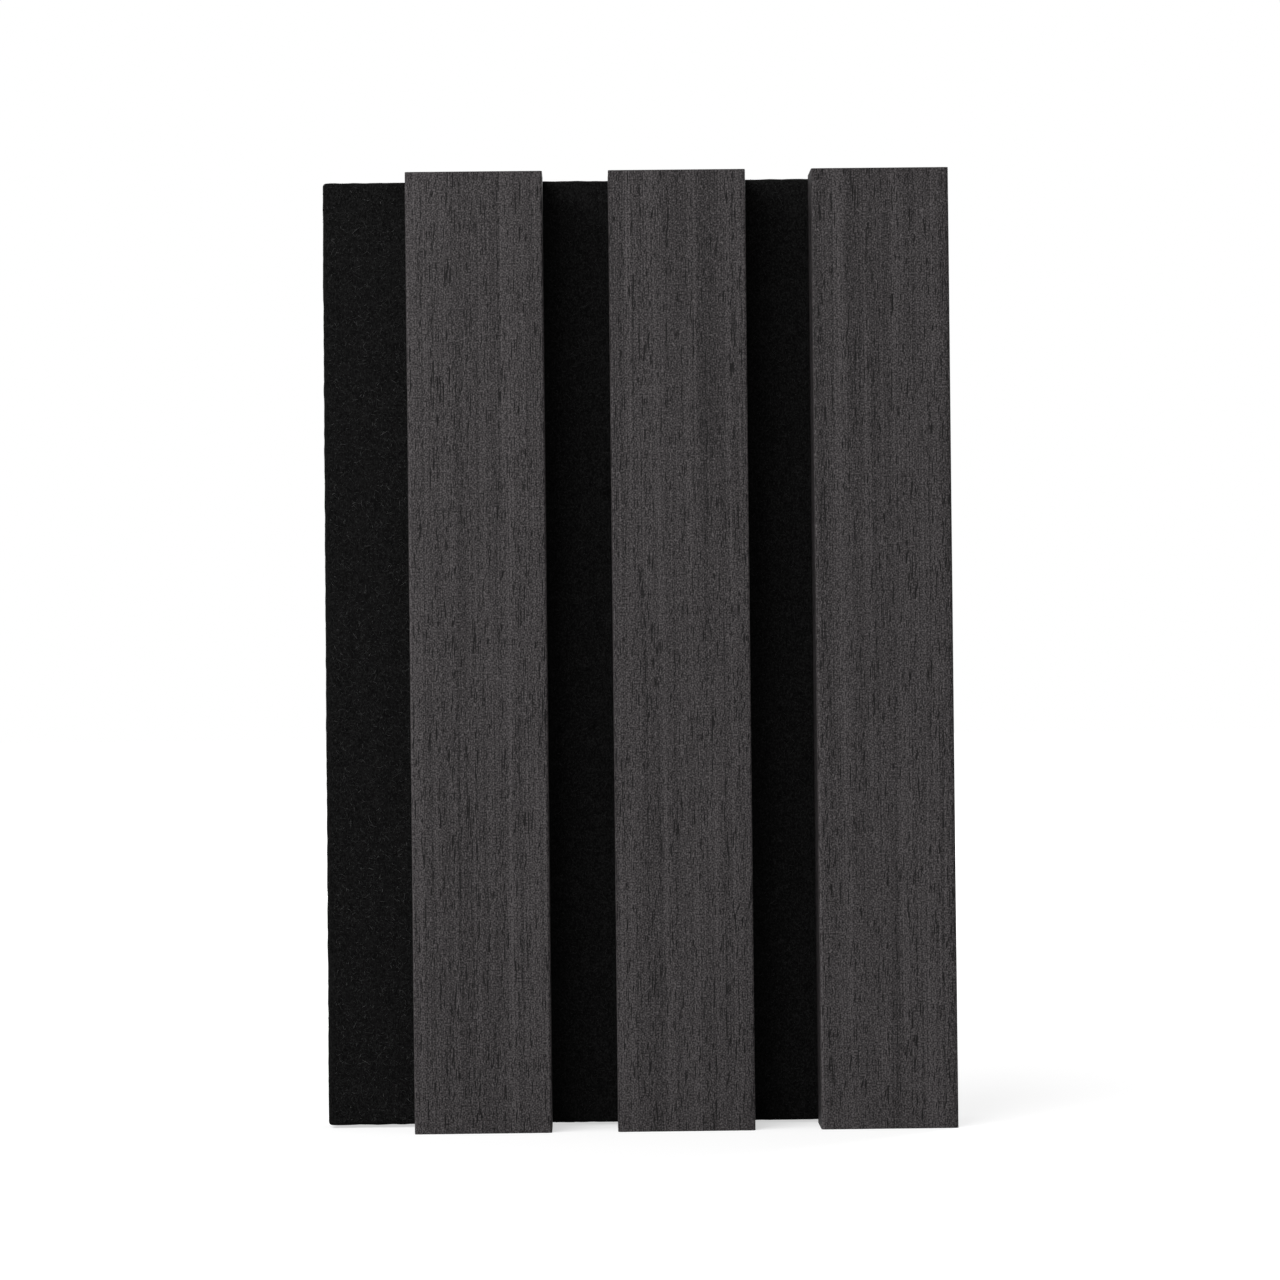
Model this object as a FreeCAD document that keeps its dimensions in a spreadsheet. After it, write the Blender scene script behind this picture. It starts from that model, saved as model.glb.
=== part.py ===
# Acoustic slat wall panel, cut to a short length: veneered slats, glued and stapled to a felt board.
#
# Frame, in millimetres: X to the right, Z up along the slats, Y into the wall. The origin is the middle
# of the felt's back face, which lies on the wall, so the slats stand out towards -Y.
import FreeCAD, Part
import os

import Sketcher

# Driving dimensions: alias, size and what it measures.
SIZES = (
    ("slat_length", 189.2, "slat, end to end"),
    ("slat_width", 27.0, "slat with its veneer, side to side"),
    ("slat_depth", 12.0, "slat with its veneer, from the felt to its face"),
    ("slat_gap", 13.0, "open channel between two slats"),
    ("veneer_thickness", 0.5, "veneer on a slat's face and sides"),
    ("core_edge_radius", 0.1, "eased long edges of a core, which the veneer bends round"),
    ("felt_thickness", 9.0, "felt board, from the wall to the slats"),
    ("felt_margin_top", 16.9, "felt left of the slats, at the top: its free edge is cut out of square"),
    ("felt_margin_bottom", 17.6, "felt left of the slats, at the bottom"),
    ("felt_setback", 0.65, "felt's ends, short of the slats' ends"),
    ("felt_corner_radius", 0.8, "softened corners of the felt's free edge"),
    ("staple_crown", 11.2, "staple, across its two legs"),
    ("staple_bite", 4.4, "staple's legs, from the felt into the core"),
    ("staple_end_distance", 35.0, "staple, from the nearer end of the slat"),
    ("staple_bend_radius", 0.5, "outside of a staple's bends"),
    ("wire_thickness", 0.6, "staple's flat wire, in the plane of the staple"),
    ("wire_width", 1.2, "staple's flat wire, along the slat"),
)

# The slats by their place, from left to right. The last one's side is flush with the felt's edge.
SLAT_PLACES = ("left", "centre", "right")
STAPLES_PER_SLAT = 2

# Expressions that several pieces share.
SLAT_PITCH = "(Sizes.slat_width + Sizes.slat_gap)"
SLATS_ACROSS = f"(Sizes.slat_width + {len(SLAT_PLACES) - 1} * {SLAT_PITCH})"
FELT_MARGIN = "((Sizes.felt_margin_top + Sizes.felt_margin_bottom) / 2)"
FELT_RIGHT = f"(({SLATS_ACROSS} + {FELT_MARGIN}) / 2)"
SLATS_LEFT = f"({FELT_RIGHT} - {SLATS_ACROSS})"
FIRST_SLAT_X = f"({SLATS_LEFT} + Sizes.slat_width / 2)"
SLAT_TOP = "(Sizes.slat_length / 2)"
FELT_TOP = f"({SLAT_TOP} - Sizes.felt_setback)"
FELT_BOTTOM = f"(-{FELT_TOP})"
LOWEST_STAPLE = f"(Sizes.staple_end_distance - {SLAT_TOP})"
STAPLE_SPAN = "(Sizes.slat_length - 2 * Sizes.staple_end_distance)"

PARTS_FOLDER = "parts"
TOLERANCE = 1e-6


def make_sheet(doc):
    """The spreadsheet of driving dimensions, one row each: what it measures, then its size."""
    sheet = doc.addObject("Spreadsheet::Sheet", "Sizes")
    for row, (alias, size, meaning) in enumerate(SIZES, start=1):
        sheet.set(f"A{row}", meaning)
        sheet.set(f"B{row}", str(size))
        sheet.setAlias(f"B{row}", alias)
    doc.recompute()


def origin_feature(body, role):
    """A plane or axis of a body's own origin."""
    return next(feature for feature in body.Origin.OriginFeatures if feature.Role == role)


def place(doc, piece, **expressions):
    """Binds a piece's position to the sheet."""
    for axis, expression in expressions.items():
        piece.setExpression(f"Placement.Base.{axis}", expression)
    doc.recompute()


def sketch_outline(doc, body, plane, corners):
    """A closed outline of straight lines. Each corner is a pair of expressions, from the plane's origin."""
    sketch = body.newObject("Sketcher::SketchObject", f"{body.Name}_outline")
    sketch.AttachmentSupport = [(origin_feature(body, plane), "")]
    sketch.MapMode = "FlatFace"
    # The lines are drawn at their true corners, so the solver keeps the outline the right way round.
    points = [FreeCAD.Vector(*(body.evalExpression(value) for value in corner)) for corner in corners]
    for start, end in zip(points, points[1:] + points[:1]):
        sketch.addGeometry(Part.LineSegment(start, end), False)
    for line, (point, corner) in enumerate(zip(points, corners)):
        line_before = (line - 1) % len(points)
        sketch.addConstraint(Sketcher.Constraint("Coincident", line_before, 2, line, 1))
        for kind, value, expression in zip(("DistanceX", "DistanceY"), point, corner):
            dimension = sketch.addConstraint(Sketcher.Constraint(kind, -1, 1, line, 1, value))
            sketch.setExpression(f"Constraints[{dimension}]", expression)
    doc.recompute()
    return sketch


def pad(doc, body, sketch, length, midplane=False):
    """Pads a sketch along its normal by an expression, or by half of it each way."""
    feature = body.newObject("PartDesign::Pad", f"{body.Name}_pad")
    feature.Profile = sketch
    feature.Midplane = midplane
    feature.setExpression("Length", length)
    doc.recompute()
    return feature


def fillet(doc, body, base, radius, wanted):
    """Rounds those edges of the base feature that a test picks by their middle and direction."""
    names = []
    for number, edge in enumerate(base.Shape.Edges, start=1):
        middle = edge.valueAt((edge.FirstParameter + edge.LastParameter) / 2)
        if wanted(middle, edge.tangentAt(edge.FirstParameter)):
            names.append(f"Edge{number}")
    feature = body.newObject("PartDesign::Fillet", f"{body.Name}_fillet")
    feature.Base = (base, names)
    feature.setExpression("Radius", radius)
    doc.recompute()
    return feature


def cut(doc, label, base, tool):
    """What is left of the base once the tool's form is taken out of it."""
    result = doc.addObject("Part::Cut", label)
    result.Label = label
    result.Base = base
    result.Tool = tool
    doc.recompute()
    return result


def make_staples(doc):
    """Flat wire staples with chisel points behind each slat, their crowns flush with the felt's back."""
    body = doc.addObject("PartDesign::Body", "staples")
    body.Label = "staples"
    body.AllowCompound = True
    outside = "(Sizes.staple_crown / 2)"
    inside = f"({outside} - Sizes.wire_thickness)"
    crown_front = "-Sizes.wire_thickness"
    point = "-(Sizes.felt_thickness + Sizes.staple_bite)"
    bevel = f"({point} + Sizes.wire_thickness)"
    sketch = sketch_outline(doc, body, "XY_Plane", (
        (f"-{outside}", "0"),
        (f"-{outside}", point),
        (f"-{inside}", bevel),
        (f"-{inside}", crown_front),
        (inside, crown_front),
        (inside, bevel),
        (outside, point),
        (outside, "0"),
    ))
    wire = pad(doc, body, sketch, "Sizes.wire_width", midplane=True)
    bends = fillet(doc, body, wire, "Sizes.staple_bend_radius", lambda middle, along:
                   abs(middle.y) < TOLERANCE and abs(along.z) > 1 - TOLERANCE)

    rows = body.newObject("PartDesign::LinearPattern", "staple_rows")
    rows.Originals = [wire, bends]
    rows.Direction = (origin_feature(body, "X_Axis"), [""])
    rows.Occurrences = len(SLAT_PLACES)
    rows.setExpression("Length", f"{len(SLAT_PLACES) - 1} * {SLAT_PITCH}")
    rows.Direction2 = (origin_feature(body, "Z_Axis"), [""])
    rows.Occurrences2 = STAPLES_PER_SLAT
    rows.setExpression("Length2", STAPLE_SPAN)
    body.Tip = rows
    place(doc, body, x=FIRST_SLAT_X, z=LOWEST_STAPLE)
    return body


def make_felt(doc, staples):
    """The felt board, with its free edge on the left and a seat for each staple."""
    body = doc.addObject("PartDesign::Body", "felt_form")
    sketch = sketch_outline(doc, body, "XZ_Plane", (
        (f"({SLATS_LEFT} - Sizes.felt_margin_bottom)", FELT_BOTTOM),
        (FELT_RIGHT, FELT_BOTTOM),
        (FELT_RIGHT, FELT_TOP),
        (f"({SLATS_LEFT} - Sizes.felt_margin_top)", FELT_TOP),
    ))
    board = pad(doc, body, sketch, "Sizes.felt_thickness")
    fillet(doc, body, board, "Sizes.felt_corner_radius", lambda middle, along:
           middle.x < 0 and abs(along.y) > 1 - TOLERANCE)
    return cut(doc, "felt_backing", body, staples)


def make_bar(doc, name, width, depth, edge_radius):
    """A bar along Z with its back on the plane Y = 0 and its two front long edges rounded."""
    body = doc.addObject("PartDesign::Body", name)
    sketch = sketch_outline(doc, body, "XY_Plane", (
        (f"-{width} / 2", "0"),
        (f"-{width} / 2", f"-{depth}"),
        (f"{width} / 2", f"-{depth}"),
        (f"{width} / 2", "0"),
    ))
    bar = pad(doc, body, sketch, "Sizes.slat_length", midplane=True)
    fillet(doc, body, bar, edge_radius, lambda middle, along:
           middle.y < -TOLERANCE and abs(along.z) > 1 - TOLERANCE)
    return body


def make_slat(doc, number, where, staples):
    """One slat: a core with a seat for each staple, and the veneer wrapped round its face and sides."""
    core_form = make_bar(
        doc, f"core_form_{where}",
        "(Sizes.slat_width - 2 * Sizes.veneer_thickness)",
        "(Sizes.slat_depth - Sizes.veneer_thickness)",
        "Sizes.core_edge_radius",
    )
    slat_form = make_bar(
        doc, f"slat_form_{where}",
        "Sizes.slat_width",
        "Sizes.slat_depth",
        "(Sizes.core_edge_radius + Sizes.veneer_thickness)",
    )
    for form in (core_form, slat_form):
        place(doc, form, x=f"{FIRST_SLAT_X} + {number} * {SLAT_PITCH}", y="-Sizes.felt_thickness")
    core = cut(doc, f"slat_core_{where}", core_form, staples)
    veneer = cut(doc, f"slat_veneer_{where}", slat_form, core_form)
    return [core, veneer]


def check_objects(doc):
    """Stops the build where an object did not compute or has no sound shape."""
    for item in doc.Objects:
        if "Invalid" in item.State or "Error" in item.State:
            raise RuntimeError(f"{item.Label} did not compute: {item.State}")
        if item.isDerivedFrom("Part::Feature") and (item.Shape.isNull() or not item.Shape.isValid()):
            raise RuntimeError(f"{item.Label} has no sound shape")


def main():
    doc = FreeCAD.newDocument("slat_panel")
    make_sheet(doc)
    staples = make_staples(doc)
    pieces = [staples, make_felt(doc, staples)]
    for number, where in enumerate(SLAT_PLACES):
        pieces += make_slat(doc, number, where, staples)
    doc.recompute()
    check_objects(doc)

    os.makedirs(PARTS_FOLDER, exist_ok=True)
    for piece in pieces:
        piece.Shape.exportStep(f"{PARTS_FOLDER}/{piece.Label}.step")


main()
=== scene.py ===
# Acoustic slat wall panel: grained veneers, needled felt with its loose fibres, studio light and camera.
# The frame is that of the solids, in metres: X to the right, Z up along the slats, Y into the wall.
import math

import bpy
import numpy as np
from mathutils import Matrix, Vector, noise


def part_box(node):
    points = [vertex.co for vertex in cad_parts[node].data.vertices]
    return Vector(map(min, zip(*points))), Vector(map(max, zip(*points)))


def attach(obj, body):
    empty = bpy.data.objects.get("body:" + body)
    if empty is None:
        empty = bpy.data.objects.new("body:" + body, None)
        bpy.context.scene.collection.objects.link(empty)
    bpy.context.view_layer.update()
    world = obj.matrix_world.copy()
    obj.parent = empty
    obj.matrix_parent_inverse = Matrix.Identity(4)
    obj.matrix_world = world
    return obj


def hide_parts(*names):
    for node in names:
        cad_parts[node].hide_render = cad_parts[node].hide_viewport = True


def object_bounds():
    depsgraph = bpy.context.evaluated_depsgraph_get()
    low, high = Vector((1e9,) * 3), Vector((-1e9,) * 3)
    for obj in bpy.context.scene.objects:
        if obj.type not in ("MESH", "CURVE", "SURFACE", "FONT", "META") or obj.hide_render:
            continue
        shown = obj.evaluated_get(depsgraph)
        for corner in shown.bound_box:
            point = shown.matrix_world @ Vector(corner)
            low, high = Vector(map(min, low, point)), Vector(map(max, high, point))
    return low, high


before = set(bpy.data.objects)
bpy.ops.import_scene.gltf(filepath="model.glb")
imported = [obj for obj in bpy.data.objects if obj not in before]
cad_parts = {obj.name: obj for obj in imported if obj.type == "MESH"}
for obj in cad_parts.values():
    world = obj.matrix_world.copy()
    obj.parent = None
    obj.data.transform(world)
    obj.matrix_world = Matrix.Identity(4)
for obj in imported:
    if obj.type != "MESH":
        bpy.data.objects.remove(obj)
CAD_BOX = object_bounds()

MM = 0.001
WHITE = (1.0, 1.0, 1.0, 1.0)
SLATS = ("left", "centre", "right")

# Vectors shorter than this have no direction worth finding.
SMALLEST_LENGTH = 1e-9

# Seeds of the random draws: the slats' pores count up from the first, and the fibres have their own.
FIRST_PORE_SEED = 100
FIBRE_SEED = 7

# Veneer: sizes that the boxes of the solids don't give, and how finely its sheet is divided.
ARRIS_RADIUS = 0.6 * MM
ARRIS_STEPS = 6
FACE_STEP = 0.13 * MM
SIDE_STEP = 0.25 * MM
GRAIN_STEP = 0.88 * MM

# Middle of a rounded corner: how far it lies inside both of its sides, as a share of the radius.
CORNER_MIDDLE = 0.3

# Painted shade of the veneer, for the shade in the channels between the slats: how far behind the face
# it has its darker tone, on the slats' sides.
PAINTED_SIDE_SHADE_DEPTH = 4 * ARRIS_RADIUS

# Swell of the veneer: height of each layer of lumps and their size along X, Y and Z, in millimetres.
VENEER_SWELL = (
    (0.012, (0.9, 0.9, 18)),
    (0.03, (6, 6, 45)),
)

# Pores of the veneer, with their half lengths and half widths in millimetres. A half length is scaled
# by a draw whose logarithm has this mean and deviation. The fill is the share of the full depth, and the
# slope across the grain has this deviation.
PORES_PER_SQUARE_MM = 0.5
PORE_DEPTH = 0.05 * MM
PORE_FILLS = (0.2, 1.0)
PORE_HALF_LENGTH = 0.25
PORE_LENGTH_SPREAD = (0.75, 0.6)
LONGEST_HALF_LENGTH = 3.0
PORE_HALF_WIDTHS = (0.08, 0.15)
PORE_SLOPE = 0.012

# Growth rings, where the pores crowd: each slat takes its rings from another slice of the noise.
RING_WIDTH = 1.6 * MM
RING_SLICES = 50
MEAN_CROWDING = 0.7
LEAST_CROWDING = 0.1

# Map of the veneer for baked textures, which is 1 wide and 1 high: the margin beside the sheet, the
# sheet's top, the band above it for the two ends, and the width of each strip of the hidden side.
MAP_MARGIN = 0.01
MAP_WIDTH = 1 - 2 * MAP_MARGIN
MAP_SHEET_TOP = 0.96
MAP_ENDS_BOTTOM = 0.97
MAP_ENDS_HEIGHT = 0.025
HIDDEN_STRIP = 0.2 * MM

# Felt: the rounding of its edges with the places of its points there, the grid of its skin, how far its
# cut edges stand out, and how squarely a point of its back faces the wall.
FELT_EDGE_RADIUS = 0.7 * MM
FELT_BEND_STOPS = (0.0, 0.13, 0.37, 0.67)
FELT_STEP = 0.9 * MM
FELT_NAP = 0.08 * MM
BACK_FACING = 0.9

# Lumps of the felt, all over and on its cut edges: height and size along X, Y and Z, in millimetres.
FELT_LUMPS = (
    (0.05, (3, 3, 3)),
    (0.035, (1.1, 1.1, 1.1)),
)
CUT_EDGE_LUMPS = (
    (0.09, (2.2, 0.9, 2.2)),
)

# Staples: their wire, the rolled edges of it, and the dents that they pull into the felt's back.
STAPLE_CROWN = 11.2 * MM
WIRE_WIDTH = 1.2 * MM
WIRE_EDGE_RADIUS = 0.14 * MM
WIRE_EDGE_STEPS = 3
STAPLE_DENT = 0.45 * MM
STAPLE_DENT_REACH = 1.6 * MM

# Loose fibres of the felt. The logarithms of their lengths and lifts, in millimetres, have these means
# and deviations, and their bends this deviation, in radians. The tuck is how deep their ends lie in the
# felt, and some have one end free.
FIBRE_POINTS = 3
FIBRE_SIDES = 3
FIBRE_PLACES = np.linspace(-0.5, 0.5, FIBRE_POINTS)
FIBRE_RADIUS = 0.024 * MM
FIBRE_RADIUS_SPREAD = (0.7, 1.3)
FIBRE_TAPER = 0.4
FIBRE_LENGTH_SPREAD = (-0.55, 0.5)
FIBRE_LENGTH_LIMITS = (0.3, 3.0)
FIBRE_BEND = 0.7
FIBRE_LIFT_SPREAD = (-2.3, 0.7)
FIBRE_TUCK = 0.02 * MM
FREE_FIBRE_SHARE = 0.2

# Fibres on each part of the felt: their number to a square metre, how far they may stand out, and the
# palest of their tones. The channels have fewer ones than the open margin, and darker ones as painted
# shade for the channels between the slats.
MARGIN_FIBRES = 2.4 / MM ** 2
CHANNEL_FIBRES = 0.6 / MM ** 2
EDGE_FIBRES = 1.17 / MM ** 2
BACK_FIBRES = 0.55 / MM ** 2
FACE_FIBRE_RISE = 0.5 * MM
EDGE_FIBRE_RISE = 0.14 * MM
PALEST_FIBRE = 1.0
PALEST_CHANNEL_FIBRE_PAINTED_SHADE = 0.5

# Studio: the level of the light from all round, the floor's height and reach, the distances between
# which it pales with its glow there, and the soft lamps by name, place, size and power in watts.
WORLD_LIGHT = 0.27
FLOOR_HEIGHT = CAD_BOX[0].z
FLOOR_REACH = 4.0
FLOOR_PALING = (0.3, 1.2)
FLOOR_GLOW = (0.6, 1.0)
LAMPS = (
    ("key", (-0.5, -0.52, 0.5), (1.0, 0.4), 9.0),
    ("back_fill", (0.6, 0.9, 0.6), (0.8, 0.8), 12.0),
)

# Camera: found by fitting the panel's corners to the photograph, whose frame is square. The lens and the
# sensor are in millimetres.
CAMERA_PLACE = Vector((-9.14, -805.79, -1.79)) * MM
CAMERA_PITCH = math.radians(0.282)
CAMERA_YAW = math.radians(-0.699)
CAMERA_ROLL = math.radians(-0.624)
CAMERA_LENS = 112.23
CAMERA_SENSOR = 36.0


# Meshes

def make_piece(name, points, faces, material, sharp_angle=40):
    """A smooth shaded mesh piece, sharp where faces meet at more than the given angle, in degrees."""
    mesh = bpy.data.meshes.new(name)
    mesh.from_pydata(points.tolist(), [], faces)
    mesh.shade_smooth()
    mesh.set_sharp_from_angle(angle=math.radians(sharp_angle))
    mesh.materials.append(material)
    piece = bpy.data.objects.new(name, mesh)
    bpy.context.collection.objects.link(piece)
    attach(piece, "root")
    return piece


def store_values(piece, name, values):
    """Keeps one number for each point of a piece, for its material to read."""
    attribute = piece.data.attributes.new(name, "FLOAT", "POINT")
    attribute.data.foreach_set("value", np.asarray(values, dtype=np.float32))


def tube_faces(rows, ring):
    """Faces of a tube whose rows of points are rings of the given number, closed flat at both ends."""
    faces = []
    for row in range(rows - 1):
        start, above = row * ring, (row + 1) * ring
        for column in range(ring):
            after = (column + 1) % ring
            faces.append((start + column, start + after, above + after, above + column))
    faces.append(tuple(reversed(range(ring))))
    faces.append(tuple(range((rows - 1) * ring, rows * ring)))
    return faces


def unit(vectors):
    """The directions of vectors, each with a length of 1."""
    lengths = np.linalg.norm(vectors, axis=-1, keepdims=True)
    return vectors / np.maximum(lengths, SMALLEST_LENGTH)


def noise_at(points, size):
    """Smooth noise from -1 to 1 at each point, in lumps of this size along X, Y and Z, in metres."""
    scaled = points / np.asarray(size)
    return np.array([noise.noise(Vector(point)) for point in scaled])


def lumps_at(points, layers):
    """Soft relief at each point: layers of noise by height and size of lumps, in millimetres."""
    relief = np.zeros(len(points))
    for height, size in layers:
        relief += height * MM * noise_at(points, [length * MM for length in size])
    return relief


# Veneers

def veneer_section(low, high):
    """The veneer's outer line from the left back edge round the face to the right one, with normals."""
    left, right, front, back = low.x, high.x, low.y, high.y
    side_steps = round((back - front - ARRIS_RADIUS) / SIDE_STEP)
    face_steps = round((right - left - 2 * ARRIS_RADIUS) / FACE_STEP)
    points, normals = [], []
    for y in np.linspace(back, front + ARRIS_RADIUS, side_steps, endpoint=False):
        points.append((left, y))
        normals.append((-1.0, 0.0))
    for turn in np.linspace(math.pi, 1.5 * math.pi, ARRIS_STEPS, endpoint=False):
        aside, ahead = math.cos(turn), math.sin(turn)
        points.append((left + ARRIS_RADIUS * (1 + aside), front + ARRIS_RADIUS * (1 + ahead)))
        normals.append((aside, ahead))
    for x in np.linspace(left + ARRIS_RADIUS, right - ARRIS_RADIUS, face_steps, endpoint=False):
        points.append((x, front))
        normals.append((0.0, -1.0))
    for turn in np.linspace(1.5 * math.pi, 2 * math.pi, ARRIS_STEPS, endpoint=False):
        aside, ahead = math.cos(turn), math.sin(turn)
        points.append((right - ARRIS_RADIUS * (1 - aside), front + ARRIS_RADIUS * (1 + ahead)))
        normals.append((aside, ahead))
    for y in np.linspace(front + ARRIS_RADIUS, back, side_steps + 1):
        points.append((right, y))
        normals.append((1.0, 0.0))
    return np.array(points), np.array(normals)


def veneer_inner_line(low, high, radius):
    """The veneer's inner line on its core, from the right back edge round the face to the left one."""
    middle = CORNER_MIDDLE * radius
    return [
        (high.x, high.y),
        (high.x, low.y + radius),
        (high.x - middle, low.y + middle),
        (high.x - radius, low.y),
        (low.x + radius, low.y),
        (low.x + middle, low.y + middle),
        (low.x, low.y + radius),
        (low.x, high.y),
    ]


def drawn_up(line, heights):
    """A grid of points: a line in X and Y, repeated at each height."""
    grid = np.empty((len(heights), len(line), 3))
    grid[:, :, :2] = line
    grid[:, :, 2] = heights[:, None]
    return grid


def pore_field(across, along, rng):
    """Open pores of the wood: short dark grooves along the grain, as a depth from 0 to 1 on a grid.

    They crowd together in the growth rings, which run along the grain.
    """
    field = np.zeros((len(along), len(across)))
    width, length = across[-1] - across[0], along[-1] - along[0]
    count = int(PORES_PER_SQUARE_MM * width * length / MM ** 2)
    ring_slice = np.full_like(across, rng.uniform(0, RING_SLICES))
    places = np.column_stack([across, ring_slice, np.zeros_like(across)])
    rings = noise_at(places, (RING_WIDTH, 1.0, 1.0))
    crowding = np.clip(MEAN_CROWDING + rings, LEAST_CROWDING, None) * np.gradient(across)
    for middle in rng.choice(across, count, p=crowding / crowding.sum()):
        height = along[0] + length * rng.random()
        half_length = MM * min(PORE_HALF_LENGTH * rng.lognormal(*PORE_LENGTH_SPREAD), LONGEST_HALF_LENGTH)
        half_width = MM * rng.uniform(*PORE_HALF_WIDTHS)
        depth = rng.uniform(*PORE_FILLS)
        slope = rng.normal(0.0, PORE_SLOPE)
        rows = slice(*np.searchsorted(along, (height - half_length, height + half_length)))
        offset = along[rows] - height
        reach = half_width + abs(slope) * half_length
        columns = slice(*np.searchsorted(across, (middle - reach, middle + reach)))
        beside = (across[columns][None, :] - middle - slope * offset[:, None]) / half_width
        groove = depth * np.clip(1 - beside ** 2, 0, None) * (1 - (offset / half_length) ** 4)[:, None]
        field[rows, columns] = np.maximum(field[rows, columns], groove)
    return field


def lay_out_veneer(piece, across, rows, inner_columns):
    """The veneer's map for baked textures: its outer side laid flat as two half lengths, side by side.

    The hidden inner side gets only thin strips, and each end a band above its half.
    """
    ring = len(across) + inner_columns
    strips = across[-1] + HIDDEN_STRIP * np.arange(1, inner_columns + 2)
    flat = np.concatenate([across, strips])
    flat = MAP_MARGIN + MAP_WIDTH * flat / flat[-1]
    half_rows = rows // 2
    places = []
    for row in range(rows - 1):
        half = int(row >= half_rows)
        bottom, top = ((row + step - half * half_rows) / (rows - half_rows) for step in (0, 1))
        for column in range(ring):
            left, right = (half + flat[column]) / 2, (half + flat[column + 1]) / 2
            for u, v in ((left, bottom), (right, bottom), (right, top), (left, top)):
                places.append((u, MAP_SHEET_TOP * v))
    end_loops = piece.data.loops[len(places):]
    corners = np.array([piece.data.vertices[loop.vertex_index].co for loop in end_loops])
    low, high = corners.min(axis=0), corners.max(axis=0)
    for x, y, z in (corners - low) / (high - low):
        u = (round(z) + MAP_MARGIN + MAP_WIDTH * x) / 2
        places.append((u, MAP_ENDS_BOTTOM + MAP_ENDS_HEIGHT * y))
    layer = piece.data.uv_layers.new(name="OFBake")
    layer.data.foreach_set("uv", np.array(places, dtype=np.float32).ravel())


def make_veneer(where, material, rng):
    """One veneer: a thin sheet folded round the core's face and sides, with its pores pressed into it."""
    low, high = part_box(f"slat_veneer_{where}")
    core_low, core_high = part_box(f"slat_core_{where}")
    thickness = core_low.x - low.x
    section, normals = veneer_section(low, high)
    along = np.linspace(low.z, high.z, round((high.z - low.z) / GRAIN_STEP) + 1)
    across = np.concatenate([[0.0], np.cumsum(np.hypot(*np.diff(section, axis=0).T))])
    pores = pore_field(across, along, rng)

    outer = drawn_up(section, along)
    swell = lumps_at(outer.reshape(-1, 3), VENEER_SWELL)
    relief = swell.reshape(pores.shape) - PORE_DEPTH * pores
    relief[:, [0, -1]] = 0.0
    outer[:, :, :2] += relief[:, :, None] * normals

    inner_line = veneer_inner_line(core_low, core_high, ARRIS_RADIUS - thickness)
    inner = drawn_up(inner_line, along)
    points = np.concatenate([outer, inner], axis=1).reshape(-1, 3)
    faces = tube_faces(len(along), len(section) + len(inner_line))

    piece = make_piece(f"veneer_{where}", points, faces, material)
    store_values(piece, "pore", np.pad(pores, ((0, 0), (0, len(inner_line)))).ravel())
    lay_out_veneer(piece, across, len(along), len(inner_line))
    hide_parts(f"slat_veneer_{where}")


# Felt board

def board_stops(low, high):
    """Grid positions along one side of the board: close together on its rounded edges, even between."""
    bend = FELT_EDGE_RADIUS * np.array(FELT_BEND_STOPS)
    steps = max(round((high - low - 2 * FELT_EDGE_RADIUS) / FELT_STEP), 2)
    flat = np.linspace(low + FELT_EDGE_RADIUS, high - FELT_EDGE_RADIUS, steps + 1)
    return np.concatenate([low + bend, flat, (high - bend)[::-1]])


def box_skin(stops):
    """Points and quads of a box's skin on the given positions along X, Y and Z."""
    numbers, points, quads = {}, [], []

    def number(place):
        if place not in numbers:
            numbers[place] = len(points)
            points.append([stops[axis][index] for axis, index in enumerate(place)])
        return numbers[place]

    for axis in range(3):
        one, other = (axis + 1) % 3, (axis + 2) % 3
        for end in (0, len(stops[axis]) - 1):
            for i in range(len(stops[one]) - 1):
                for j in range(len(stops[other]) - 1):
                    quad = []
                    for step_one, step_other in ((0, 0), (1, 0), (1, 1), (0, 1)):
                        place = [end, end, end]
                        place[one] = i + step_one
                        place[other] = j + step_other
                        quad.append(number(tuple(place)))
                    quads.append(quad if end else quad[::-1])
    return np.array(points), quads


def felt_left_edge():
    """The felt's cut left edge at its lower and upper corner: it is a little out of square."""
    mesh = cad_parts["felt_backing"].data
    corners = np.array([vertex.co for vertex in mesh.vertices])
    upper = corners[:, 2] > 0
    return corners[~upper, 0].min(), corners[upper, 0].min()


def staple_places():
    """The middle of each staple's crown, along X and Z."""
    low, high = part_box("staples")
    places = []
    for where in SLATS:
        slat_low, slat_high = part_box(f"slat_core_{where}")
        for height in (low.z + WIRE_WIDTH / 2, high.z - WIRE_WIDTH / 2):
            places.append(((slat_low.x + slat_high.x) / 2, height))
    return places


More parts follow.
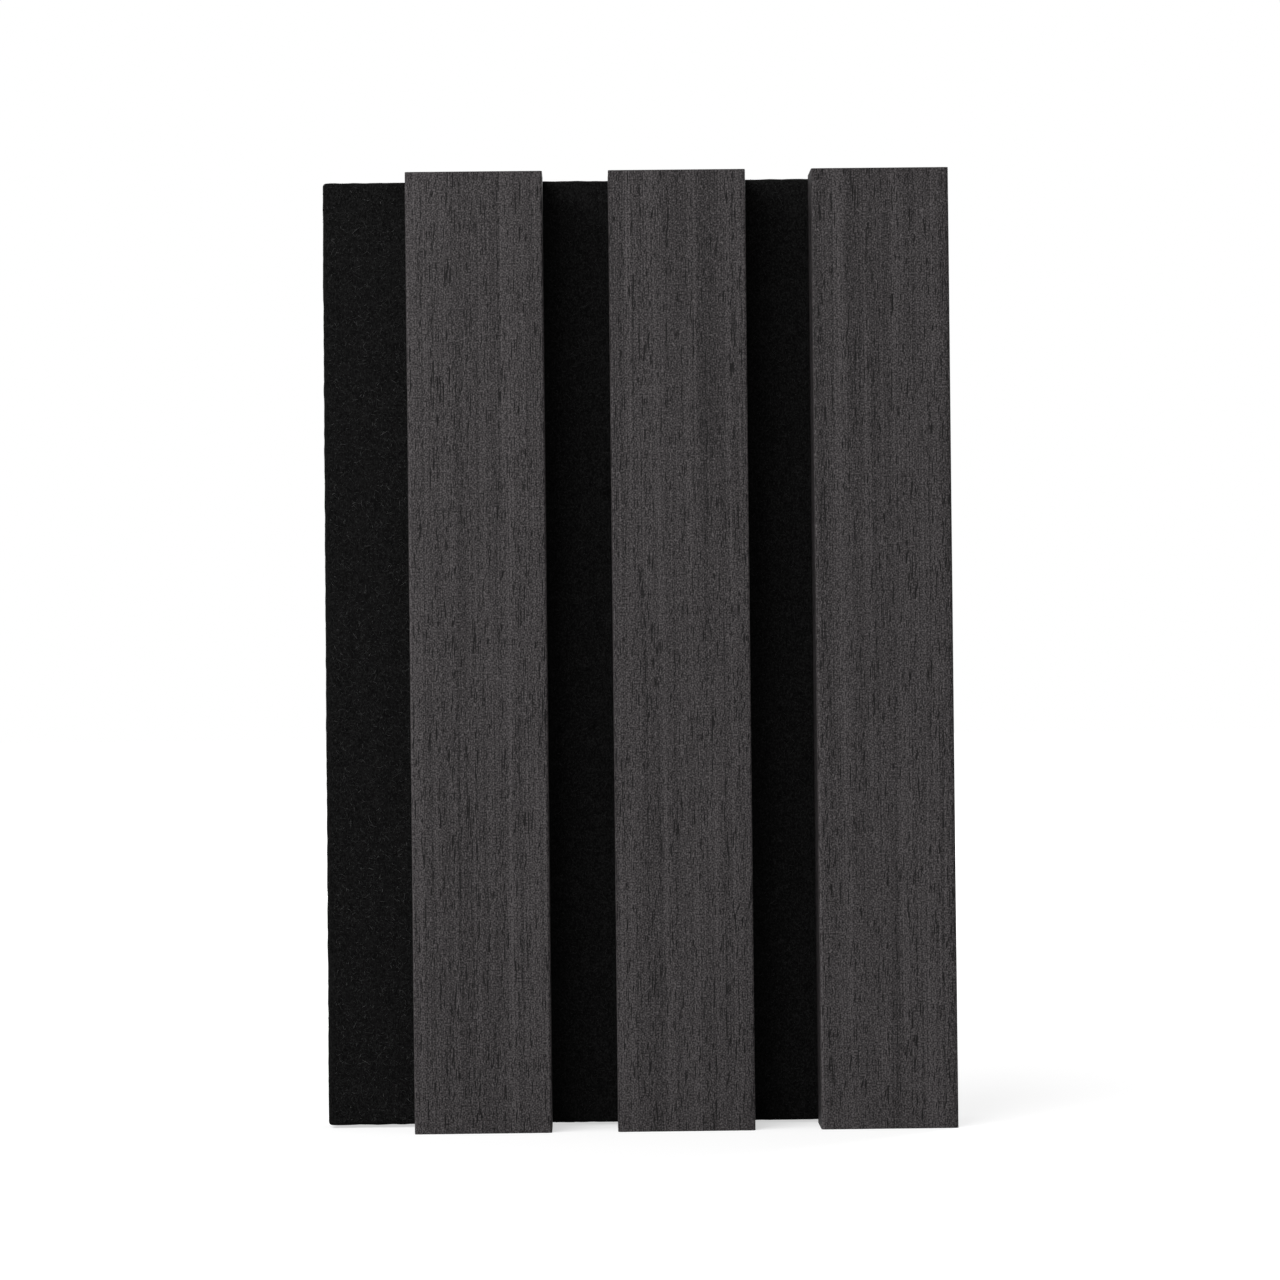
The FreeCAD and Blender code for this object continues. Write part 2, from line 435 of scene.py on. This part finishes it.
def make_felt(material):
    """The felt board: soft lumps, cut edges with a matted rim, and a dent behind each staple."""
    low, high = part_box("felt_backing")
    points, quads = box_skin([board_stops(low[axis], high[axis]) for axis in range(3)])
    inside = np.clip(points, np.array(low) + FELT_EDGE_RADIUS, np.array(high) - FELT_EDGE_RADIUS)
    normals = unit(points - inside)
    points = inside + FELT_EDGE_RADIUS * normals

    cut_edge = np.clip(1 - np.abs(normals[:, 1]), 0, 1)
    lumps = lumps_at(points, FELT_LUMPS) + cut_edge * lumps_at(points, CUT_EDGE_LUMPS)
    points += (lumps + FELT_NAP * cut_edge)[:, None] * normals

    on_back = normals[:, 1] > BACK_FACING
    for x, z in staple_places():
        beyond = np.clip(np.abs(points[:, 0] - x) - STAPLE_CROWN / 2, 0, None)
        away = np.hypot(beyond, points[:, 2] - z) / STAPLE_DENT_REACH
        points[:, 1] -= on_back * STAPLE_DENT * np.exp(-away ** 2)

    # The whole board leans with its left edge, less and less towards the right one.
    lower_left, upper_left = felt_left_edge()
    rise = (points[:, 2] - low.z) / (high.z - low.z)
    reach_left = (high.x - points[:, 0]) / (high.x - low.x)
    points[:, 0] += rise * reach_left * (upper_left - lower_left)

    piece = make_piece("felt_board", points, quads, material, sharp_angle=80)
    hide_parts("felt_backing")


# Loose fibres

def strewn(offsets, reach, rng):
    """Places along one side of a patch: each fibre's middle anywhere on it, no point past its ends."""
    middles = rng.random((len(offsets), 1)) * reach
    return np.clip(middles + offsets - offsets.mean(axis=1, keepdims=True), 0, reach)


def fibre_paths(patches, density, highest, rng):
    """Short curved lines on the patches, most tucked in at both ends.

    Gives their points, and the direction that the patch of each one faces.
    """
    areas = np.array([np.linalg.norm(np.cross(side, other)) for _, side, other, _ in patches])
    count = round(density * areas.sum())
    chosen = rng.choice(len(patches), count, p=areas / areas.sum())
    corners, sides, others, facings = (np.array(column)[chosen][:, None, :] for column in zip(*patches))

    lengths = MM * np.clip(rng.lognormal(*FIBRE_LENGTH_SPREAD, (count, 1)), *FIBRE_LENGTH_LIMITS)
    bends = rng.normal(0.0, FIBRE_BEND, (count, 1))
    headings = rng.uniform(0.0, 2 * math.pi, (count, 1))
    turns = headings + bends * FIBRE_PLACES
    step_lengths = lengths / (FIBRE_POINTS - 1)
    run = np.cumsum(step_lengths * np.cos(turns), axis=1)
    rise = np.cumsum(step_lengths * np.sin(turns), axis=1)
    first = strewn(run, np.linalg.norm(sides, axis=-1), rng)
    second = strewn(rise, np.linalg.norm(others, axis=-1), rng)

    lift = np.clip(MM * rng.lognormal(*FIBRE_LIFT_SPREAD, (count, 1)), FIBRE_TUCK, highest)
    loop = 1 - (2 * FIBRE_PLACES) ** 2
    free_end = (FIBRE_PLACES + 0.5) ** 2
    is_free = rng.random((count, 1)) < FREE_FIBRE_SHARE
    height = lift * np.where(is_free, free_end, loop) - FIBRE_TUCK

    paths = corners + height[:, :, None] * facings
    paths = paths + first[:, :, None] * unit(sides)
    paths = paths + second[:, :, None] * unit(others)
    return paths, facings


def fibre_tubes(paths, facings, rng):
    """Points of a thin tube round each path, ring by ring, tapered towards both ends."""
    ahead = unit(np.gradient(paths, axis=1))
    across = unit(np.cross(ahead, facings))
    above = np.cross(across, ahead)
    taper = (1 - FIBRE_TAPER * (2 * FIBRE_PLACES) ** 2)[None, :, None]
    radius = FIBRE_RADIUS * rng.uniform(*FIBRE_RADIUS_SPREAD, (len(paths), 1, 1)) * taper
    corners = []
    for corner in range(FIBRE_SIDES):
        turn = 2 * math.pi * corner / FIBRE_SIDES
        corners.append(paths + radius * (math.cos(turn) * across + math.sin(turn) * above))
    return np.stack(corners, axis=2).reshape(-1, 3)


def grow_fibres(name, patches, density, highest, palest, material, rng):
    """Fine curved fibres that lie on flat patches of the felt.

    A patch has a corner, its two sides as vectors and the direction that it faces. The density is the
    number of fibres to a square metre, the highest is how far one may stand out from its patch, and the
    palest is the end of their range of tones, from 0 to 1.
    """
    paths, facings = fibre_paths(patches, density, highest, rng)
    points = fibre_tubes(paths, facings, rng)
    tube = tube_faces(FIBRE_POINTS, FIBRE_SIDES)
    tube_points = FIBRE_POINTS * FIBRE_SIDES
    faces = []
    for start in range(0, len(points), tube_points):
        for face in tube:
            faces.append(tuple(start + corner for corner in face))
    piece = make_piece(name, points, faces, material, sharp_angle=180)
    store_values(piece, "tone", np.repeat(palest * rng.random(len(paths)), tube_points))


def make_fibres(material, rng):
    """Fibres on the felt's open front, on its cut edges and on its back."""
    low, high = (np.array(corner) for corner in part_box("felt_backing"))
    lower_left, upper_left = felt_left_edge()
    edge = FELT_EDGE_RADIUS
    left, bottom, top = max(lower_left, upper_left) + edge, low[2] + edge, high[2] - edge
    width = np.array((high[0] - edge - left, 0.0, 0.0))
    depth = np.array((0.0, high[1] - low[1] - 2 * edge, 0.0))
    height = np.array((0.0, 0.0, top - bottom))

    front = []
    start = left
    for where in SLATS:
        slat_low, slat_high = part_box(f"slat_veneer_{where}")
        front.append(((start, low[1], bottom), (slat_low.x - start, 0.0, 0.0), height, (0.0, -1.0, 0.0)))
        start = slat_high.x
    margin, *channels = front
    grow_fibres("felt_fibres_margin", [margin], MARGIN_FIBRES, FACE_FIBRE_RISE, PALEST_FIBRE,
                material, rng)
    # The channels' fibres have a darker palest tone than the margin's: painted shade between the slats.
    grow_fibres("felt_fibres_channels", channels, CHANNEL_FIBRES, FACE_FIBRE_RISE, PALEST_CHANNEL_FIBRE_PAINTED_SHADE,
                material, rng)

    left_height = np.array((upper_left - lower_left, 0.0, top - bottom))
    edges = [
        ((lower_left, low[1] + edge, bottom), left_height, depth, (-1.0, 0.0, 0.0)),
        ((high[0], low[1] + edge, bottom), height, depth, (1.0, 0.0, 0.0)),
        ((left, low[1] + edge, high[2]), width, depth, (0.0, 0.0, 1.0)),
        ((left, low[1] + edge, low[2]), width, depth, (0.0, 0.0, -1.0)),
    ]
    grow_fibres("felt_fibres_edges", edges, EDGE_FIBRES, EDGE_FIBRE_RISE, PALEST_FIBRE, material, rng)

    back = [((left, high[1], bottom), width, height, (0.0, 1.0, 0.0))]
    grow_fibres("felt_fibres_back", back, BACK_FIBRES, FACE_FIBRE_RISE, PALEST_FIBRE, material, rng)


# Cores and staples, which keep their solids

def dress_cores(material):
    """Gives the three cores their material."""
    for where in SLATS:
        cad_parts[f"slat_core_{where}"].material_slots[0].material = material


def dress_staples(material):
    """Gives the staples their material and the wire's rolled edges."""
    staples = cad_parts["staples"]
    staples.material_slots[0].material = material
    rounding = staples.modifiers.new("rolled_edges", "BEVEL")
    rounding.width = WIRE_EDGE_RADIUS
    rounding.segments = WIRE_EDGE_STEPS
    rounding.limit_method = "ANGLE"


# Materials

class Finish:
    """One procedural material: short calls that add a node and give back its output."""

    def __init__(self, name):
        self.material = bpy.data.materials.new(name)
        self.material.use_nodes = True
        self.tree = self.material.node_tree
        self.surface = self.tree.nodes["Principled BSDF"]
        self.place = self.tree.nodes.new("ShaderNodeTexCoord").outputs["Object"]

    def feed(self, socket, value):
        """Links an output to an input, or sets the input to a plain value."""
        if isinstance(value, bpy.types.NodeSocket):
            self.tree.links.new(value, socket)
        else:
            socket.default_value = value

    def stretched(self, size, shift=0.0):
        """The piece's own coordinates, counted in lumps of this size in millimetres along X, Y and Z."""
        mapping = self.tree.nodes.new("ShaderNodeMapping")
        self.feed(mapping.inputs["Vector"], self.place)
        mapping.inputs["Scale"].default_value = [1 / (MM * length) for length in size]
        mapping.inputs["Location"].default_value = (shift, shift, shift)
        return mapping.outputs["Vector"]

    def along(self, axis):
        """The piece's own coordinate along one axis, in metres."""
        parts = self.tree.nodes.new("ShaderNodeSeparateXYZ")
        self.feed(parts.inputs["Vector"], self.place)
        return parts.outputs[axis]

    def distance(self):
        """How far a point is from the piece's own origin, in metres."""
        step = self.tree.nodes.new("ShaderNodeVectorMath")
        step.operation = "LENGTH"
        self.feed(step.inputs[0], self.place)
        return step.outputs["Value"]

    def noise(self, size, detail=2.0, roughness=0.5, shift=0.0):
        """Soft noise from 0 to 1, in lumps of this size in millimetres along X, Y and Z."""
        texture = self.tree.nodes.new("ShaderNodeTexNoise")
        self.feed(texture.inputs["Vector"], self.stretched(size, shift))
        texture.inputs["Scale"].default_value = 1.0
        texture.inputs["Detail"].default_value = detail
        texture.inputs["Roughness"].default_value = roughness
        return texture.outputs["Fac"]

    def stored(self, name):
        """The numbers that were stored by this name on the piece's points."""
        attribute = self.tree.nodes.new("ShaderNodeAttribute")
        attribute.attribute_name = name
        return attribute.outputs["Fac"]

    def math(self, operation, *values):
        """One operation on outputs or plain numbers."""
        step = self.tree.nodes.new("ShaderNodeMath")
        step.operation = operation
        for socket, value in zip(step.inputs, values):
            self.feed(socket, value)
        return step.outputs["Value"]

    def total(self, start, *parts):
        """A plain number plus each part times its weight."""
        result = start
        for part, weight in parts:
            result = self.math("MULTIPLY_ADD", part, weight, result)
        return result

    def spread(self, value, low, high, to_low=0.0, to_high=1.0):
        """Maps a range of values to another, held at its ends."""
        step = self.tree.nodes.new("ShaderNodeMapRange")
        for name, number in (("Value", value), ("From Min", low), ("From Max", high),
                             ("To Min", to_low), ("To Max", to_high)):
            self.feed(step.inputs[name], number)
        return step.outputs["Result"]

    def strands(self, size, thinness, shift):
        """Thin winding lines, like fibres that lie on the surface: 1 on a line and 0 away from it."""
        ground = self.noise(size, detail=1.0, shift=shift)
        off_line = self.math("ABSOLUTE", self.math("SUBTRACT", ground, 0.5))
        return self.spread(off_line, 0.0, thinness, to_low=1.0, to_high=0.0)

    def colours(self, value, *stops):
        """A row of colours, each at its place from 0 to 1."""
        ramp = self.tree.nodes.new("ShaderNodeValToRGB")
        self.feed(ramp.inputs["Fac"], value)
        elements = ramp.color_ramp.elements
        while len(elements) < len(stops):
            elements.new(0.5)
        for element, (place, colour) in zip(elements, stops):
            element.position = place
            element.color = (*colour, 1.0)
        return ramp.outputs["Color"]

    def bump(self, height, depth, strength=1.0):
        """Fine relief of the surface, with its depth in millimetres."""
        step = self.tree.nodes.new("ShaderNodeBump")
        step.inputs["Strength"].default_value = strength
        step.inputs["Distance"].default_value = depth * MM
        self.feed(step.inputs["Height"], height)
        return step.outputs["Normal"]

    def finish(self, **inputs):
        """Sets the shader's inputs, each named as in the shader with _ for its spaces."""
        for name, value in inputs.items():
            self.feed(self.surface.inputs[name.replace("_", " ")], value)
        return self.material


def veneer_finish():
    """Charcoal stained wood: fine straight grain along Z, dark pores, soft bands and a mottled shade."""
    look = Finish("charcoal_veneer")
    bands = look.noise((3, 3, 300), detail=1.0)
    mottle = look.noise((2.2, 2.2, 9))
    streaks = look.noise((0.3, 0.3, 100), roughness=0.6)
    threads = look.noise((0.2, 0.2, 1.3), detail=1.0, roughness=0.6)
    grit = look.noise((0.28, 0.28, 0.32), detail=0.0, shift=13.0)
    specks = look.spread(look.noise((0.4, 0.4, 0.6), detail=0.0, shift=7.0), 0.76, 0.84)
    pores = look.stored("pore")
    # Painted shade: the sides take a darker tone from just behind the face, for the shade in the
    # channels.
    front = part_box("slat_veneer_left")[0].y
    sides = look.spread(look.along("Y"), front + ARRIS_RADIUS, front + PAINTED_SIDE_SHADE_DEPTH)
    tone = look.total(
        -1.655,
        (bands, 0.6),
        (mottle, 0.2),
        (streaks, 1.0),
        (threads, 0.8),
        (grit, 1.7),
        (specks, 0.6),
        (look.spread(pores, 0.12, 0.55), -1.6),
        # The painted shade on the slats' sides.
        (sides, -0.25),
    )
    colour = look.colours(
        tone,
        (0.0, (0.0063, 0.0057, 0.0059)),
        (0.5, (0.0382, 0.0347, 0.0357)),
        (1.0, (0.0960, 0.0885, 0.0905)),
    )
    height = look.total(0.0, (streaks, 0.7), (threads, 0.6), (pores, -0.6))
    return look.finish(
        Base_Color=colour,
        Roughness=look.spread(streaks, 0.3, 0.7, to_low=0.55, to_high=0.75),
        Specular_IOR_Level=0.12,
        Normal=look.bump(height, depth=0.06, strength=0.8),
    )


def felt_finish():
    """Black needled felt: a tangle of strands over a matt ground."""
    look = Finish("black_felt")
    ground = look.noise((1.4, 1.4, 1.4), detail=3.0, roughness=0.6)
    fine = look.noise((0.27, 0.27, 0.36), roughness=0.6, shift=3.0)
    strands = look.strands((0.9, 0.9, 1.2), thinness=0.035, shift=11.0)
    crossing = look.strands((0.6, 0.6, 0.5), thinness=0.03, shift=23.0)
    tangle = look.math("MAXIMUM", strands, crossing)
    tone = look.total(-1.05, (ground, 0.5), (fine, 2.4), (tangle, 0.2))
    colour = look.colours(
        tone,
        (0.0, (0.0013, 0.0013, 0.0013)),
        (0.5, (0.0068, 0.0068, 0.0068)),
        (1.0, (0.0155, 0.0155, 0.0155)),
    )
    height = look.total(0.0, (ground, 0.5), (fine, 0.5), (tangle, 0.5))
    return look.finish(
        Base_Color=colour,
        Roughness=look.spread(fine, 0.3, 0.7, to_low=0.85, to_high=1.0),
        Specular_IOR_Level=0.03,
        Normal=look.bump(height, depth=0.12, strength=0.8),
    )


def fibre_finish():
    """Single fibres of the felt, each a slightly different dark grey."""
    look = Finish("felt_fibre")
    tone = look.total(0.0, (look.stored("tone"), 0.8), (look.noise((0.4, 0.4, 0.4)), 0.3))
    colour = look.colours(
        tone,
        (0.0, (0.0050, 0.0050, 0.0050)),
        (0.6, (0.0160, 0.0160, 0.0161)),
        (0.85, (0.0450, 0.0450, 0.0450)),
        (1.0, (0.1800, 0.1800, 0.1800)),
    )
    return look.finish(
        Base_Color=colour,
        Roughness=look.spread(look.stored("tone"), 0.0, 1.0, to_low=0.5, to_high=0.7),
        Specular_IOR_Level=0.3,
        Normal=look.bump(look.noise((0.1, 0.1, 0.1)), depth=0.01),
    )


def core_finish():
    """Black dyed fibreboard: short pressed fibres, with fine saw lines across its ends."""
    look = Finish("dyed_fibreboard")
    flecks = look.noise((0.8, 0.4, 0.8), detail=3.0, roughness=0.7)
    fine = look.noise((0.3, 0.3, 0.3), roughness=0.6)
    saw = look.noise((20.0, 0.6, 20.0), roughness=0.6, shift=5.0)
    tone = look.total(-1.25, (flecks, 1.5), (fine, 1.5), (saw, 0.5))
    colour = look.colours(
        tone,
        (0.0, (0.0045, 0.0042, 0.0041)),
        (0.5, (0.0190, 0.0180, 0.0176)),
        (1.0, (0.0650, 0.0615, 0.0590)),
    )
    height = look.total(0.0, (flecks, 0.5), (fine, 0.3), (saw, 0.5))
    return look.finish(
        Base_Color=colour,
        Roughness=look.spread(flecks, 0.3, 0.7, to_low=0.75, to_high=0.95),
        Specular_IOR_Level=0.05,
        Normal=look.bump(height, depth=0.06),
    )


def staple_finish():
    """Galvanized steel wire: drawn lines and a dull zinc mottle."""
    look = Finish("galvanized_wire")
    mottle = look.noise((0.8, 0.8, 0.8), detail=3.0, roughness=0.6)
    drawn = look.noise((3.0, 3.0, 0.08), roughness=0.6, shift=4.0)
    tone = look.total(0.0, (mottle, 0.6), (drawn, 0.4))
    colour = look.colours(
        tone,
        (0.3, (0.10, 0.10, 0.105)),
        (0.7, (0.34, 0.34, 0.35)),
    )
    return look.finish(
        Base_Color=colour,
        Metallic=1.0,
        Roughness=look.spread(tone, 0.3, 0.7, to_low=0.28, to_high=0.48),
        Normal=look.bump(tone, depth=0.02),
    )


# Studio

def seen_directly(tree):
    """1 for rays that show a background: from the camera, or by way of metal or glass."""
    path = tree.nodes.new("ShaderNodeLightPath")
    result = path.outputs["Is Camera Ray"]
    for name in ("Is Glossy Ray", "Is Transmission Ray"):
        either = tree.nodes.new("ShaderNodeMath")
        either.operation = "MAXIMUM"
        tree.links.new(result, either.inputs[0])
        tree.links.new(path.outputs[name], either.inputs[1])
        result = either.outputs["Value"]
    return result


def make_world():
    """Even light from all round, with white behind the panel."""
    world = bpy.data.worlds.new("studio")
    world.use_nodes = True
    world.cycles.sampling_method = "NONE"
    tree = world.node_tree
    background = tree.nodes["Background"]
    background.inputs["Color"].default_value = WHITE
    strength = tree.nodes.new("ShaderNodeMapRange")
    strength.inputs["To Min"].default_value = WORLD_LIGHT
    strength.inputs["To Max"].default_value = 1.0
    tree.links.new(seen_directly(tree), strength.inputs["Value"])
    tree.links.new(strength.outputs["Result"], background.inputs["Strength"])
    bpy.context.scene.world = world


def floor_finish():
    """A pale floor that shows white, but less so close to the panel, where it keeps a shadow."""
    look = Finish("pale_floor")
    glow = look.spread(look.distance(), *FLOOR_PALING, *FLOOR_GLOW)
    return look.finish(
        Base_Color=(0.5, 0.5, 0.5, 1.0),
        Roughness=0.9,
        Specular_IOR_Level=0.0,
        Emission_Color=WHITE,
        Emission_Strength=look.math("MULTIPLY", glow, seen_directly(look.tree)),
    )


def make_floor(material):
    """The floor that the panel stands on."""
    outline = ((-1, -1), (1, -1), (1, 1), (-1, 1))
    corners = [(x * FLOOR_REACH, y * FLOOR_REACH, FLOOR_HEIGHT) for x, y in outline]
    mesh = bpy.data.meshes.new("floor")
    mesh.from_pydata(corners, [], [(0, 1, 2, 3)])
    mesh.materials.append(material)
    floor = bpy.data.objects.new("floor", mesh)
    bpy.context.collection.objects.link(floor)


def make_soft_box(name, place, size, power):
    """A soft rectangular lamp that faces the panel."""
    lamp = bpy.data.lights.new(name, "AREA")
    lamp.shape = "RECTANGLE"
    lamp.size, lamp.size_y = size
    lamp.energy = power
    box = bpy.data.objects.new(name, lamp)
    box.location = place
    box.rotation_euler = (-Vector(place)).to_track_quat("-Z", "Y").to_euler()
    bpy.context.collection.objects.link(box)


def make_camera():
    """The camera in front of the panel, turned a little as the photograph's was."""
    data = bpy.data.cameras.new("camera")
    data.lens = CAMERA_LENS
    data.sensor_width = CAMERA_SENSOR
    camera = bpy.data.objects.new("camera", data)
    turn = Matrix.Rotation(CAMERA_YAW, 4, "Z") @ Matrix.Rotation(math.radians(90) + CAMERA_PITCH, 4, "X")
    camera.matrix_world = Matrix.Translation(CAMERA_PLACE) @ turn @ Matrix.Rotation(CAMERA_ROLL, 4, "Z")
    bpy.context.collection.objects.link(camera)
    bpy.context.scene.camera = camera


# The whole scene

veneer = veneer_finish()
for number, where in enumerate(SLATS):
    make_veneer(where, veneer, np.random.default_rng(FIRST_PORE_SEED + number))
make_felt(felt_finish())
make_fibres(fibre_finish(), np.random.default_rng(FIBRE_SEED))
dress_cores(core_finish())
dress_staples(staple_finish())

make_world()
make_floor(floor_finish())
for lamp in LAMPS:
    make_soft_box(*lamp)
make_camera()
bpy.context.scene.view_settings.view_transform = "Standard"
